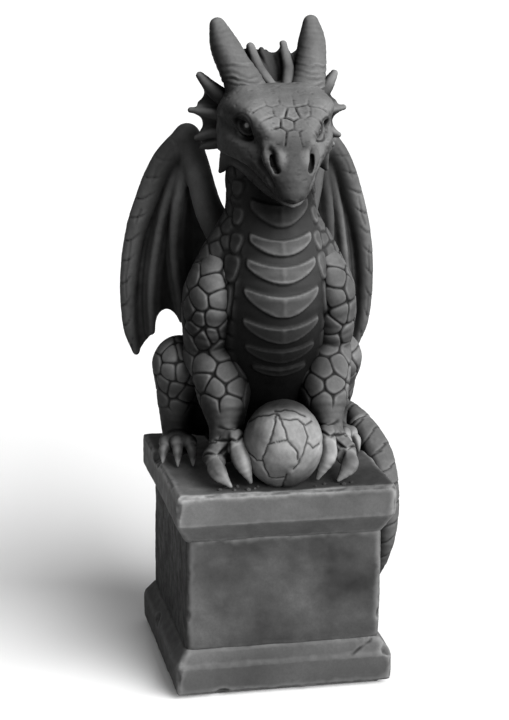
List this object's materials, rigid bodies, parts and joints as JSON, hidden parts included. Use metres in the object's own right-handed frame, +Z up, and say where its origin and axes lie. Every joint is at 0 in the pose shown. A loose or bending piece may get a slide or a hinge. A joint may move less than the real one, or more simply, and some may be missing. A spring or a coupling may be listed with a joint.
{
  "type": "painted miniature figure",
  "caption": "Seated winged dragon gripping a cracked stone orb on a square moulded plinth, cast in resin and painted as grey stone.",
  "frame": {"origin": "centre of the underside of the felt pad, on the surface that the figure stands on", "axes": "+Z up, the dragon faces -Y, and its left side is +X"},
  "size_m": [0.0378, 0.0331, 0.0903],
  "materials": {
    "felt": "matt black felt",
    "stone_paint": "matt grey stone paint with light dry-brushed edges",
    "orb_paint": "matt light grey paint, dark wash in the cracks",
    "scale_paint": "matt dark grey paint, dark wash between the scales, light dry-brushed high points",
    "horn_paint": "matt mid grey paint",
    "wing_paint": "matt dark grey paint, darkest on the webs"
  },
  "bodies": {
    "root": {"felt_pad": "felt", "plinth_base": "stone_paint", "plinth_shaft": "stone_paint", "plinth_cap": "stone_paint", "orb": "orb_paint", "torso": "scale_paint", "head": "scale_paint", "lower_jaw": "scale_paint", "horn_left": "horn_paint", "horn_right": "horn_paint", "crest": "scale_paint", "ear_frill_left": "scale_paint", "ear_frill_right": "scale_paint", "wing_left": "wing_paint", "wing_right": "wing_paint", "foreleg_left": "scale_paint", "foreleg_right": "scale_paint", "hindleg_left": "scale_paint", "hindleg_right": "scale_paint", "tail_root": "scale_paint", "tail_tip": "scale_paint"}
  },
  "joints": []
}
